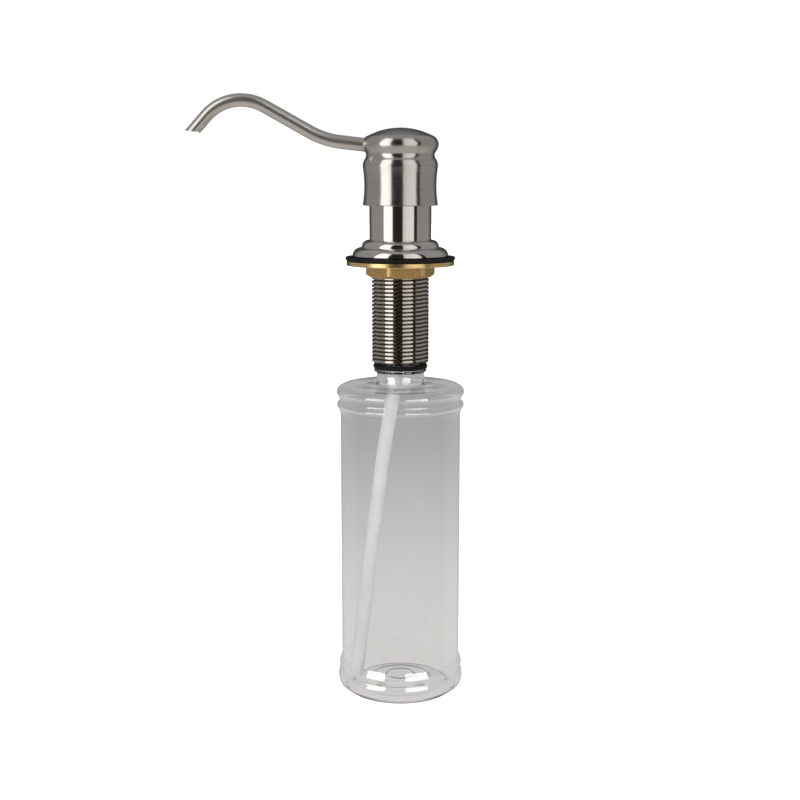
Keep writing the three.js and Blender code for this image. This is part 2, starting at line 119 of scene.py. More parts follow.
def bezier(a, control, b, steps):
    ts = [i / steps for i in range(steps + 1)]
    return [
        tuple((1 - t) ** 2 * p + 2 * t * (1 - t) * q + t**2 * r for p, q, r in zip(a, control, b))
        for t in ts
    ]


def rounded(points, fillet=0.2, steps=4, closed=True):
    """A profile with its corners rounded. A point is (r, z), or (r, z, its own fillet radius)."""
    out = []
    count = len(points)
    for i, point in enumerate(points):
        if not closed and i in (0, count - 1):
            out.append(tuple(point[:2]))
            continue
        here = Vector(point[:2])
        radius = point[2] if len(point) > 2 else fillet
        back = Vector(points[i - 1][:2]) - here
        ahead = Vector(points[(i + 1) % count][:2]) - here
        turn = math.pi - back.angle(ahead)
        if radius == 0 or here.x == 0 or turn < math.radians(15):
            out.append(tuple(here))
            continue
        reach = min(radius * math.tan(turn / 2), 0.45 * back.length, 0.45 * ahead.length)
        start = here + back.normalized() * reach
        end = here + ahead.normalized() * reach
        for k in range(steps + 1):
            t = k / steps
            out.append(tuple((1 - t) ** 2 * start + 2 * t * (1 - t) * here + t**2 * end))
    return out


def filleted_route(corners, steps):
    """Straight legs joined by bends: corners are (x, z, bend radius). Returns the points (x, z)."""
    out = [corners[0][:2]]
    for before, (x, z, bend), after in zip(corners, corners[1:], corners[2:]):
        here = Vector((x, z))
        back = (Vector(before[:2]) - here).normalized()
        ahead = (Vector(after[:2]) - here).normalized()
        half = back.angle(ahead) / 2
        centre = here + (back + ahead).normalized() * bend / math.sin(half)
        start = here + back * bend / math.tan(half) - centre
        end = here + ahead * bend / math.tan(half) - centre
        sweep = start.angle(end)
        for k in range(steps + 1):
            t = k / steps
            spoke = (start * math.sin((1 - t) * sweep) + end * math.sin(t * sweep)) / math.sin(sweep)
            out.append(tuple(centre + spoke))
    return [*out, corners[-1][:2]]


# ---------- Meshes ----------


def revolved(rows, segments=TURNED_SEGMENTS, phase=0.0):
    """Turns a closed profile about Z. A row is (radius, height); a radius may be a function of the angle.
    Rows must run counter-clockwise: up the outside and down the inside."""
    angles = [math.radians(phase) + 2 * math.pi * i / segments for i in range(segments)]
    points, loops = [], []
    for radius, height in rows:
        if not callable(radius) and radius == 0:
            loops.append([len(points)] * segments)
            points.append((0, 0, height))
            continue
        loops.append(list(range(len(points), len(points) + segments)))
        for angle in angles:
            r = radius(angle) if callable(radius) else radius
            points.append((r * math.cos(angle), r * math.sin(angle), height))
    faces = []
    for lower, upper in zip(loops, [*loops[1:], loops[0]]):
        for i in range(segments):
            j = (i + 1) % segments
            corners = dict.fromkeys((lower[i], lower[j], upper[j], upper[i]))
            if len(corners) > 2:
                faces.append(tuple(corners))
    return points, faces


def swept(frames, outer, inner=None, sides=48):
    """A bar, or a tube with an inner radius, through frames of (centre, side, up). The radii are lists with
    one value for each frame. Returns points, faces and the (along, around) place of each face's corners."""
    walls = [outer] if inner is None else [outer, inner]
    points, faces, along = [], [], [0.0]
    for (here, _, _), (there, _, _) in zip(frames, frames[1:]):
        along.append(along[-1] + (there - here).length)
    for radii in walls:
        for (centre, side, up), radius in zip(frames, radii):
            for i in range(sides):
                angle = 2 * math.pi * i / sides
                points.append(centre + (side * math.cos(angle) + up * math.sin(angle)) * radius)
    coordinates = []
    last = len(frames) - 1
    for wall in range(len(walls)):
        base = wall * len(frames) * sides
        for k in range(last):
            near, far = base + k * sides, base + (k + 1) * sides
            for i in range(sides):
                j = (i + 1) % sides
                left, right = i / sides, (i + 1) / sides
                quad = [near + i, near + j, far + j, far + i]
                uv = [(along[k], left), (along[k], right), (along[k + 1], right), (along[k + 1], left)]
                faces.append(quad if wall == 0 else quad[::-1])
                coordinates.append(uv if wall == 0 else uv[::-1])
    inside = len(frames) * sides
    for k, flip in ((0, True), (last, False)):
        ring = [k * sides + i for i in range(sides)]
        if inner is None:
            faces.append(ring[::-1] if flip else ring)
            coordinates.append([(along[k], i / sides) for i in range(sides)])
            continue
        for i in range(sides):
            j = (i + 1) % sides
            quad = [ring[i], ring[j], inside + ring[j], inside + ring[i]]
            faces.append(quad[::-1] if flip else quad)
            coordinates.append([(along[k], i / sides)] * 4)
    return points, faces, coordinates


def flat_frames(route):
    """Frames along a route of (x, z) points that stays in the plane y = 0."""
    points = [Vector((x, 0, z)) for x, z in route]
    frames = []
    for i, here in enumerate(points):
        ahead = (points[min(i + 1, len(points) - 1)] - points[max(i - 1, 0)]).normalized()
        side = Vector((0, 1, 0))
        frames.append((here, side, ahead.cross(side)))
    return frames


def helix_frames(radius, bottom, top, turns, steps_per_turn):
    """Frames along a right-hand helix about Z, with its end turns drawn closer together."""
    count = int(turns * steps_per_turn)
    slope = (top - bottom) / turns / (2 * math.pi)
    frames = []
    for i in range(count + 1):
        t = i / count
        angle = 2 * math.pi * turns * t
        eased = t + math.sin(2 * math.pi * t) * -0.06
        out = Vector((math.cos(angle), math.sin(angle), 0))
        centre = out * radius + Vector((0, 0, bottom + (top - bottom) * eased))
        ahead = Vector((-math.sin(angle) * radius, math.cos(angle) * radius, slope)).normalized()
        frames.append((centre, out, ahead.cross(out)))
    return frames


def piece(name, node, body, finish, shape, crease=32):
    """Makes a mesh piece that stands for a CAD node, rides on its body and takes a finish."""
    points, faces, *coordinates = shape
    mesh = bpy.data.meshes.new(name)
    mesh.from_pydata([Vector(p) * MM for p in points], [], faces)
    if coordinates:
        layer = mesh.uv_layers.new(name="along")
        flat = [uv for face in coordinates[0] for uv in face]
        for loop, (u, v) in zip(layer.data, flat):
            loop.uv = (u * MM, v)
    mesh.polygons.foreach_set("use_smooth", [True] * len(mesh.polygons))
    mesh.set_sharp_from_angle(angle=math.radians(crease))
    mesh.materials.append(finish)
    obj = bpy.data.objects.new(name, mesh)
    bpy.context.scene.collection.objects.link(obj)
    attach(obj, body)
    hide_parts(node)
    return obj


# ---------- Finishes ----------


class Finish:
    """A procedural material round one Principled shader."""

    def __init__(self, name, sockets):
        self.material = bpy.data.materials.new(name)
        self.material.use_nodes = True
        tree = self.material.node_tree
        self.nodes, self.links = tree.nodes, tree.links
        self.shader = self.nodes["Principled BSDF"]
        for socket, value in sockets.items():
            self.shader.inputs[socket].default_value = value
        self.place = self.node("ShaderNodeTexCoord").outputs["Object"]

    def node(self, kind, inputs=None, **settings):
        made = self.nodes.new(kind)
        for key, value in settings.items():
            setattr(made, key, value)
        for key, value in (inputs or {}).items():
            self.feed(made.inputs[key], value)
        return made

    def feed(self, socket, value):
        if isinstance(value, bpy.types.NodeSocket):
            self.links.new(value, socket)
        else:
            socket.default_value = value

    def math(self, operation, a, b=0.0):
        return self.node("ShaderNodeMath", {0: a, 1: b}, operation=operation).outputs[0]

    def scaled(self, vector, scale):
        return self.node("ShaderNodeVectorMath", {0: vector, 1: scale}, operation="MULTIPLY").outputs[0]

    def noise(self, vector, scale=1.0, detail=4.0, roughness=0.6):
        inputs = {"Vector": vector, "Scale": scale, "Detail": detail, "Roughness": roughness}
        return self.node("ShaderNodeTexNoise", inputs).outputs["Fac"]

    def spread(self, value, low, high, start=0.3, end=0.7):
        """Maps a value's start..end to low..high."""
        inputs = {"Value": value, "From Min": start, "From Max": end, "To Min": low, "To Max": high}
        return self.node("ShaderNodeMapRange", inputs).outputs[0]

    def blend(self, factor, a, b):
        """Mixes two colours. Each is a triple or a socket."""
        a, b = ((*c, 1) if isinstance(c, tuple) else c for c in (a, b))
        return self.node("ShaderNodeMix", {0: factor, 6: a, 7: b}, data_type="RGBA").outputs[2]

    def bump(self, height, distance, strength=1.0):
        inputs = {"Height": height, "Distance": distance, "Strength": strength}
        self.links.new(self.node("ShaderNodeBump", inputs).outputs[0], self.shader.inputs["Normal"])

    def use(self, **sockets):
        """Links values to the shader's sockets, named with underscores for spaces."""
        for key, value in sockets.items():
            self.links.new(value, self.shader.inputs[key.replace("_", " ")])

    def axis_distance(self):
        flat = self.scaled(self.place, (1, 1, 0))
        return self.node("ShaderNodeVectorMath", {0: flat}, operation="LENGTH").outputs["Value"]

    def ring_place(self, around, across):
        """Coordinates that are stretched round the Z axis, for the circular grain of a turned piece."""
        parts = self.node("ShaderNodeSeparateXYZ", {0: self.place}).outputs
        lateral = self.math("SUBTRACT", parts["Z"], self.axis_distance())
        inputs = {
            "X": self.math("MULTIPLY", parts["X"], around),
            "Y": self.math("MULTIPLY", parts["Y"], around),
            "Z": self.math("MULTIPLY", lateral, across),
        }
        return self.node("ShaderNodeCombineXYZ", inputs).outputs[0]

    def circular_tangent(self):
        tangent = self.node("ShaderNodeTangent", direction_type="RADIAL", axis="Z")
        self.use(Tangent=tangent.outputs[0])


def tint(colour, factor):
    return tuple(channel * factor for channel in colour)


def turned_metal(name, colour, roughness, anisotropy, relief, grain=1500):
    """Metal with fine circular lines: their light and dark, their gloss, and their relief."""
    finish = Finish(name, {"Metallic": 1.0, "Anisotropic": anisotropy, "Anisotropic Rotation": 0.25})
    lines = finish.noise(finish.ring_place(60, grain), detail=5, roughness=0.7)
    clouds = finish.noise(finish.place, scale=140, detail=3)
    wear = finish.math("MULTIPLY", lines, finish.spread(clouds, 0.8, 1.2))
    finish.use(
        Base_Color=finish.blend(finish.spread(wear, 0, 1), tint(colour, 0.93), tint(colour, 1.04)),
        Roughness=finish.spread(wear, roughness * 0.9, roughness * 1.12),
    )
    finish.bump(lines, relief)
    finish.circular_tangent()
    return finish.material


def spout_metal(name, colour, roughness):
    """The same metal brushed along the tube."""
    finish = Finish(name, {"Metallic": 1.0})
    uv = finish.node("ShaderNodeUVMap", uv_map="along").outputs[0]
    lines = finish.noise(finish.scaled(uv, (9, 7, 1)), detail=1, roughness=0.4)
    clouds = finish.noise(finish.place, scale=60, detail=2)
    wear = finish.math("MULTIPLY", lines, finish.spread(clouds, 0.85, 1.15))
    finish.use(
        Base_Color=finish.blend(finish.spread(wear, 0, 1), tint(colour, 0.93), tint(colour, 1.04)),
        Roughness=finish.spread(wear, roughness * 0.95, roughness * 1.05),
    )
    return finish.material


def plated_metal(name, colour):
    """Bright plate over a cut thread: smooth crests, duller roots, and painted shade that darkens the roots.
    """
    finish = Finish(name, {"Metallic": 1.0})
    depth = finish.spread(finish.axis_distance(), 0, 1, THREAD.minor * MM, THREAD.major * MM)
    lines = finish.noise(finish.ring_place(50, 1200), detail=4)
    # crest runs from 0 in the roots to 1 on the crests: it sets the gloss, and it paints shade into the roots
    # by halving their colour.
    crest = finish.math("MULTIPLY", depth, finish.spread(lines, 0.85, 1.1))
    finish.use(
        Base_Color=finish.blend(crest, tint(colour, 0.5), colour),
        Roughness=finish.spread(crest, 0.2, 0.06, 0, 1),
    )
    finish.bump(lines, 0.000004)
    return finish.material


def rough_brass(name, colour):
    """Brass with a coarse, sandy skin, worn glossier along the hexagon's corners, with a painted highlight
    that lightens their colour.
    """
    finish = Finish(name, {"Metallic": 1.0})
    grains = finish.noise(finish.place, scale=950, detail=4, roughness=0.75)
    patches = finish.noise(finish.place, scale=260, detail=3)
    corner_start, corner_end = (NUT.corner - 0.2) * MM, (NUT.corner - 0.02) * MM
    # Near the corners the roughness drops (wear) and the colour is lightened by 1.3: a painted highlight
    # along the corners.
    worn_and_highlighted_corners = finish.spread(finish.axis_distance(), 0, 1, corner_start, corner_end)
    sandy = finish.blend(finish.spread(grains, 0, 1), tint(colour, 0.62), tint(colour, 1.15))
    dullness = finish.spread(patches, 0.55, 0.75)
    finish.use(
        Base_Color=finish.blend(worn_and_highlighted_corners, sandy, tint(colour, 1.3)),
        Roughness=finish.math("MULTIPLY", dullness, finish.spread(worn_and_highlighted_corners, 1, 0.6, 0, 1)),
    )
    finish.bump(grains, 0.00018)
    return finish.material


def rubber(name):
    finish = Finish(name, {"Specular IOR Level": 0.1})
    grain = finish.noise(finish.place, scale=1800, detail=3)
    dust = finish.noise(finish.place, scale=180, detail=5, roughness=0.7)
    finish.use(
        Base_Color=finish.blend(finish.spread(dust, 0, 1), (0.004, 0.004, 0.005), (0.01, 0.01, 0.011)),
        Roughness=finish.spread(dust, 0.36, 0.52),
    )
    finish.bump(grain, 0.00003)
    return finish.material


def clear_plastic(name):
    """Blown clear plastic: slow waves in the wall and a trace of haze."""
    finish = Finish(name, {"Transmission Weight": 1.0, "IOR": 1.37})
    waves = finish.noise(finish.scaled(finish.place, (34, 34, 9)), detail=2, roughness=0.4)
    haze = finish.noise(finish.place, scale=90, detail=4)
    finish.use(
        Base_Color=finish.blend(finish.spread(haze, 0, 1), (0.985, 0.985, 0.98), (1.0, 1.0, 0.998)),
        Roughness=finish.spread(haze, 0.001, 0.005),
    )
    finish.bump(waves, 0.0004, 0.12)
    return finish.material


def tube_plastic(name):
    """Milky extruded tube with faint draw lines."""
    finish = Finish(name, {"Transmission Weight": 0.12, "IOR": 1.5})
    lines = finish.noise(finish.scaled(finish.place, (900, 900, 14)), detail=3)
    cloud = finish.noise(finish.place, scale=160, detail=3)
    finish.use(
        Base_Color=finish.blend(finish.spread(cloud, 0, 1), (0.57, 0.57, 0.56), (0.62, 0.62, 0.61)),
        Roughness=finish.spread(lines, 0.3, 0.4),
    )
    finish.bump(lines, 0.00001)
    return finish.material


def moulded_plastic(name):
    finish = Finish(name, {"Subsurface Weight": 0.12, "Subsurface Scale": 0.001})
    flow = finish.noise(finish.scaled(finish.place, (120, 120, 40)), detail=4)
    texture = finish.noise(finish.place, scale=1400, detail=2)
    finish.use(
        Base_Color=finish.blend(finish.spread(flow, 0, 1), (0.66, 0.66, 0.64), (0.72, 0.72, 0.7)),
        Roughness=finish.spread(flow, 0.36, 0.5),
    )
    finish.bump(texture, 0.000015)
    return finish.material


def polished_steel(name):
    finish = Finish(name, {"Metallic": 1.0})
    marks = finish.noise(finish.place, scale=900, detail=4, roughness=0.7)
    finish.use(
        Base_Color=finish.blend(finish.spread(marks, 0, 1), (0.62, 0.62, 0.63), (0.74, 0.74, 0.75)),
        Roughness=finish.spread(marks, 0.12, 0.24),
    )
    finish.bump(marks, 0.000006)
    return finish.material


NICKEL = (0.62, 0.59, 0.555)
nickel = turned_metal("brushed_nickel", NICKEL, 0.22, 0.8, 0.000003)
nickel_spout = spout_metal("brushed_nickel_lengthwise", tint(NICKEL, 1.1), 0.3)
# Sleeve and flange: the head's nickel with less roughness, a real finer finish, and a colour lightened by
# 1.14, which paints their brighter reflections.
nickel_fine_painted_lighter = turned_metal("brushed_nickel_fine_painted_lighter", tint(NICKEL, 1.14), 0.13, 0.65, 0.000002)
plated = plated_metal("plated_thread", (0.6, 0.555, 0.505))
turned_brass = turned_metal("brass_turned", (0.92, 0.67, 0.31), 0.3, 0.6, 0.000008, grain=1100)
cast_brass = rough_brass("brass_rough", (0.72, 0.5, 0.235))
black_rubber = rubber("rubber_black")
bottle_plastic = clear_plastic("clear_plastic")
milky_tube = tube_plastic("tube_plastic")
white = moulded_plastic("white_plastic")
steel = polished_steel("stainless")

# ---------- Deck clamp ----------


def gasket_shape():
    g = GASKET
    return revolved(rounded([
        (g.lip, 0, 0.3),
        (g.outer, 0.5, 0.4),
        (g.outer, g.thick, 0.5),
        (g.bore, g.thick),
        (g.bore, 0),
    ]))


def flange_shape():
    f = FLANGE
    lower = f.step - f.bottom
    upper = f.top - f.step - GAP
    return revolved(rounded([
        *arc(f.outer - lower, f.bottom, lower, 0, 90, 14),
        (f.upper + 0.12, f.step, 0.1),
        *arc(f.upper - upper, f.top - upper, upper, 0, 90, 14),
        (f.seat_wall, f.top, 0.15),
        (f.seat_wall, f.seat),
        (f.bore, f.seat),
        (f.bore, f.bottom),
    ]))


def washer_shape():
    w = WASHER
    return revolved(rounded([
        (w.outer, w.bottom, 0.3),
        (w.outer, w.top, 0.2),
        (w.bore, w.top),
        (w.bore, w.bottom),
    ]))


def nut_shape():
    """A hexagon whose corners are turned off by a cone at the foot."""
    n = NUT
    apothem = n.flats / 2
    foot = n.corner - 3 * n.chamfer * n.chamfer / (1 + n.chamfer)

    def hexagon(limit):
        def radius(angle):
            within = (angle - math.radians(n.turn)) % (math.pi / 3) - math.pi / 6
            return min(apothem / math.cos(within), limit)
        return radius

    def wall(z):
        slope = (n.corner - foot) / n.chamfer
        return hexagon(min(n.corner, foot + slope * (z - n.bottom)))

    chamfer_heights = [n.bottom + n.chamfer * i / 10 for i in range(1, 12)]
    rows = [(foot - 0.5, n.bottom)]
    rows += [(wall(z), z) for z in [*chamfer_heights, n.top - 0.25]]
    rows += [(hexagon(n.corner - 0.2), n.top)]
    rows += [(n.bore, n.top), (n.bore, n.bottom)]
    return revolved(rows, segments=192, phase=n.turn)


# ---------- Threaded shank and sleeve ----------


def thread_radius(z):
    """The groove's radius at a height, as a function of the angle: flat crests, rounded root, right hand."""
    t = THREAD
    middle = (t.major + t.minor) / 2
    depth = (t.major - t.minor) / 2
    sharpness = 0.94
    entry = t.minor - 0.1 + (z - SHANK.bottom) * 1.2

    def radius(angle):
        wave = math.cos(2 * math.pi * z / t.pitch - angle)
        flank = math.asin(sharpness * wave) / math.asin(sharpness)
        return min(middle + depth * min(1, 2 * flank + 1), entry)

    return radius


def shank_shape():
    s = SHANK
    count = int((s.thread_top - s.bottom) / THREAD.pitch * THREAD_ROWS_PER_TURN)
    heights = [s.bottom + (s.thread_top - s.bottom) * i / count for i in range(count + 1)]
    rows = [(s.bore, s.bottom + 0.4), (s.bore + 0.4, s.bottom)]
    rows += [(thread_radius(z), z) for z in heights]
    rows += [(s.spigot, s.thread_top), (s.spigot, s.spigot_top - 0.3), (s.spigot - 0.3, s.spigot_top)]
    rows += [(s.bore, s.spigot_top)]
    return revolved(rows, segments=112)


def sleeve_shape():
    s = SLEEVE
    return revolved(rounded([
        (s.outer, s.bottom),
        (s.outer, s.top, 0.5),
        (s.inner, s.top),
        (s.inner, s.bottom),
    ]))


def seal_shape():
    return revolved(arc(SEAL.ring, SEAL.z, SEAL.section, 0, 345, 23))


# ---------- Bottle ----------


def neck_radius(z):
    """The neck's radius at a height, with its raised screw ridge."""
    t = NECK_THREAD

    def radius(angle):
        turn = (angle / (2 * math.pi)) % 1
        bulge = 0.0
        for whole in range(int(t.turns) + 1):
            along = whole + turn
            if along > t.turns:
                continue
            offset = abs(z - t.low_end - t.pitch * along) / t.half_width
            taper = min(1, along / 0.08, (t.turns - along) / 0.08)
            bulge = max(bulge, t.height * taper * max(0, 1 - offset**2) ** 0.6)
        return NECK.outer + bulge

    return radius


def bottle_walls():
    """The outside from the foot to the shoulder's inner edge, and the inside a wall's thickness within."""
    b = BOTTLE
    foot = spline([
        (b.standing + 1.6, b.base),
        (b.radius + 0.95, b.base + 2.5),
        (b.radius + 1.6, b.base + 4.2),
        (b.radius + 1.75, b.base + 5.6),
        (b.radius + 1.5, b.base + 7.6),
        (b.radius + 0.8, b.base + 9.2),
        (b.radius + 1.1, b.base + 10.7),
        (b.radius + 1.3, b.base + 12.0),
        (b.radius + 0.8, b.base + 13.8),
        (b.radius + 0.1, b.base + 15.6),
        (b.radius, b.base + 17.2),
    ], 6)
    ribs = spline([
        (b.radius, b.shoulder - 13.2),
        (b.radius + 0.5, b.shoulder - 11.5),
        (b.radius + 1.6, b.shoulder - 9.1),
        (b.radius + 0.35, b.shoulder - 6.5),
        (b.radius + 1.75, b.shoulder - 3.4),
        (b.radius + 0.9, b.shoulder - 1.2),
        (b.radius - 1.3, b.shoulder),
    ], 8)
    outside = [*foot, *ribs]
    inside = []
    for i, (r, z) in enumerate(outside):
        before, after = outside[max(i - 1, 0)], outside[min(i + 1, len(outside) - 1)]
        way = Vector((after[0] - before[0], after[1] - before[1])).normalized()
        inside.append((r - way.y * b.wall, z + way.x * b.wall))
    return outside, [point for point in inside if point[1] > b.base + 0.9]


def bottle_shape():
    """Standing ring, stepped punt, ribbed wall, rippled shoulder, beaded collar and screwed neck."""
    b, n = BOTTLE, NECK
    outside, inside = bottle_walls()
    ripples = []
    for i in range(RIPPLES.count):
        r = b.radius - 2.2 - i * RIPPLES.spacing
        wave = RIPPLES.height * math.sin(i * RIPPLES.rate) * min(1, i / RIPPLES.fade_in)
        ripples.append((r, b.shoulder + (b.radius - r) * 0.02 + wave))
    neck_foot, neck_steps = n.collar_top + 0.2, 90
    neck_length = n.top - 0.4 - neck_foot
    neck_heights = [neck_foot + neck_length * i / neck_steps for i in range(neck_steps + 1)]
    underside = [
        (0, b.base + 4.6),
        (6.4, b.base + 4.5),
        (7.4, b.base + 3.7),
        (14.0, b.base + 3.2),
        (15.2, b.base + 2.3),
        (b.standing - 3.0, b.base + 1.6, 2.5),
        (b.standing - 0.9, b.base + 0.1, 1.2),
        (b.standing, b.base),
    ]
    inner_neck = [
        (n.bore, n.top - 0.3),
        (n.bore, n.collar_top - 0.2),
        (n.collar - 1.5, n.collar_top - 0.95),
        (n.throat - 1.0, n.collar_top - 1.8),
        (n.throat - 1.0, b.shoulder + 0.6),
        (n.throat + 0.4, b.shoulder - 0.5),
    ]
    inner_floor = [
        inside[0],
        (b.standing + 0.2, b.base + 0.55),
        (b.standing - 0.8, b.base + 0.65, 1.2),
        (b.standing - 2.95, b.base + 2.15, 2.5),
        (15.4, b.base + 2.85),
        (14.3, b.base + 3.75),
        (7.6, b.base + 4.25),
        (6.7, b.base + 5.05),
        (0, b.base + 5.15),
    ]
    rows = [
        *rounded(underside, 0.5, closed=False),
        *outside,
        *ripples,
        *rounded(collar_bead(), 0.3, closed=False),
        *[(neck_radius(z), z) for z in neck_heights],
        (n.outer - 0.4, n.top),
        (n.bore + 0.3, n.top),
        *rounded(inner_neck, 0.4, closed=False),
        *[(r, z - b.wall) for r, z in reversed(ripples[RIPPLES.inner])],
        *reversed(inside[1:]),
        *rounded(inner_floor, 0.5, closed=False),
    ]
    return revolved(rows, segments=192)


def collar_bead():
    """The throat's foot and the collar bead under the sealing ring, from the shoulder up."""
    b, n = BOTTLE, NECK
    return [
        (n.throat + 1.7, b.shoulder + 0.35),
        (n.throat + 0.8, b.shoulder + 0.6),
        (n.throat + 0.25, b.shoulder + 1.0),
        (n.throat, b.shoulder + 1.6),
        (n.throat, n.collar_top - 1.6),
        (n.throat + 0.15, n.collar_top - 1.4),
        (n.collar - 0.25, n.collar_top - 1.1),
        (n.collar, n.collar_top - 0.85),
        (n.collar, n.collar_top - 0.25),
        (n.collar - 0.25, n.collar_top),
        (n.outer + 0.3, n.collar_top),
    ]


# ---------- Pump ----------


def fluted(radius, flutes):
    """A radius with shallow flutes round it."""
    return lambda angle: radius - flutes.depth * (0.5 + 0.5 * math.cos(flutes.count * angle)) ** 3


def ribbed(radius, ribs):
    """A radius with narrow ribs standing out of it."""
    return lambda angle: radius + ribs.height * max(0, math.cos(ribs.count * angle)) ** 24


def collar_shape():
    c = COLLAR
    rows = rounded([
        (c.skirt, c.bottom, 0.3),
        (c.skirt, c.seat, 0.1),
        (c.lip, c.seat),
        (c.lip, c.top, 0.4),
        (c.hole, c.top, 0.3),
        (c.hole, c.seat - 0.4, 0.2),
        (c.cavity, c.seat - 0.4),
        (c.cavity, c.bottom),
    ])
    rim = c.lip - 0.02
    return revolved([(fluted(r, FLUTES) if r > rim else r, z) for r, z in rows], segments=240)


def housing_shape():
    """The barrel with four moulded ribs, its rim, the ball's seat and the dip tube's socket."""
    b, i, s = BARREL, INLET, SOCKET
    profile = rounded([
        (s.outer, s.bottom, 0.4),
        (s.outer, s.top - 0.5, 0.5),
        (b.outer, i.cone_top, 0.6),
        (b.outer, b.top - 2, 0.3),
        (b.rim, b.top - 2),
        (b.rim, b.top),
        (b.bore, b.top),
        (b.bore, b.ledge),
        (i.chamber, b.ledge),
        (i.chamber, i.cone_top),
        (i.throat, i.cone_bottom),
        (i.throat, s.top),
        (s.bore, s.top),
        (s.bore, s.bottom),
    ])
    rows = [(ribbed(r, BARREL_RIBS) if abs(r - b.outer) < 0.02 else r, z) for r, z in profile]
    return revolved(rows, segments=192)


def ring_shape(inner, outer, bottom, top, fillet=0.2, segments=TURNED_SEGMENTS):
    return revolved(rounded([(outer, bottom), (outer, top), (inner, top), (inner, bottom)], fillet), segments)


def guide_shape():
    g = GUIDE
    hole, plug = STEM.outer + GAP, BARREL.bore - GAP
    return revolved(rounded([
        (plug, g.bottom, 0.4),
        (plug, g.seat, 0.1),
        (g.rim, g.seat),
        (g.rim, g.top, 0.3),
        (hole, g.top, 0.3),
        (hole, g.bottom),
    ]))


def ball_shape(radius, z):
    half = arc(0, z, radius, -90, 90, 24)
    return revolved([(0, half[0][1]), *half[1:-1], (0, half[-1][1])], segments=48)


def dip_tube_shape():
    route = spline(DIP_ROUTE, 12)
    frames = flat_frames(route)
    return swept(frames, [DIP_TUBE.outer] * len(frames), [DIP_TUBE.inner] * len(frames), sides=40)


# ---------- Plunger ----------


def stem_shape():
    s, o = STEM, OUTLET
    return revolved(rounded([
        (s.foot, s.bottom, 0.3),
        (s.foot, s.foot_top, 0.2),
        (s.outer, s.foot_top, 0.1),
        (s.outer, STOP.bottom, 0.2),
        (STOP.radius, STOP.bottom, 0.2),
        (STOP.radius, STOP.top, 0.2),
        (s.outer, STOP.top, 0.2),
        (s.outer, s.top, 0.4),
        (o.chamber, s.top, 0.2),
        (o.chamber, o.cone_top),
        (s.bore, o.cone_bottom),
        (s.bore, s.bottom),
    ]), segments=96)


def cup_shape():
    c = CUP
    return revolved(rounded([
        (c.lip, c.bottom, 0.1),
        (c.lip - 0.4, c.bottom + 1.8, 0.3),
        (c.lip - 0.4, c.top - 1.8, 0.3),
        (c.lip, c.top, 0.1),
        (c.hole, c.top, 0.3),
        (c.hole, c.bottom + 0.8, 0.2),
        (c.hub, c.bottom + 0.8, 0.1),
        (c.hub + 0.8, c.bottom, 0.1),
    ]), segments=96)


def spring_shape():
    s = SPRING
    frames = helix_frames(s.radius, s.bottom, s.top, s.turns, 40)
    return swept(frames, [s.wire] * len(frames), sides=14)


# ---------- Head and spout ----------


def head_shape():
    """Domed cap, grooved shoulder and waisted barrel, hollow below for the sleeve and above for the core."""
    h = HEAD
    rise = h.dome - DOME_EDGE[1]
    dome_radius = (DOME_EDGE[0] ** 2 + rise**2) / (2 * rise)
    dome_angle = math.degrees(math.acos(DOME_EDGE[0] / dome_radius))
    middle = (h.bottom + h.bead) / 2
    barrel = bezier((h.skirt, h.bottom + 0.25), (2 * h.waist - h.skirt, middle), (h.skirt, h.bead), 28)
    shoulder = spline([
        (h.skirt - 0.05, h.bead + 1.0),
        (h.skirt - 0.55, h.bead + 2.6),
        (h.skirt - 1.15, h.bead + 3.5),
        (h.skirt - 1.48, h.bead + 4.4),
        (h.skirt - 1.55, h.bead + 5.25),
        (h.skirt - 1.25, h.bead + 6.15),
        (h.skirt - 0.67, h.bead + 7.0),
        (h.skirt - 0.2, h.bead + 7.9),
        (h.skirt + 0.12, h.bead + 8.8),
        (h.skirt + 0.23, h.bead + 9.7),
        (h.skirt + 0.14, h.bead + 10.6),
        (h.skirt - 0.2, h.bead + 11.5),
        (h.skirt - 0.71, h.bead + 12.35),
        (h.skirt - 1.64, h.bead + 13.25),
        (h.skirt - 3.4, h.bead + 14.1),
        DOME_EDGE,
    ], 8)
    dome = arc(0, h.dome - dome_radius, dome_radius, dome_angle, 90, 16)[1:-1]
    return revolved([
        (h.bore, h.bottom + 0.3),
        (h.bore + 0.3, h.bottom),
        (h.skirt - 0.3, h.bottom),
        *barrel,
        *shoulder,
        *dome,
        (0, h.dome),
        (0, CORE.top + GAP),
        (CORE.pocket, CORE.top + GAP),
        (CORE.pocket, h.ceiling),
        (h.bore, h.ceiling),
    ], segments=192)


def core_shape():
    c = CORE
    return revolved([
        (c.socket, c.bottom), (c.radius - 0.3, c.bottom), (c.radius, c.bottom + 0.3), (c.radius, c.top - 0.3),
        (c.radius - 0.3, c.top), (0, c.top), (0, c.channel_top), (STEM.bore, c.channel_top),
        (STEM.bore, c.socket_top), (c.socket, c.socket_top),
    ], segments=96)


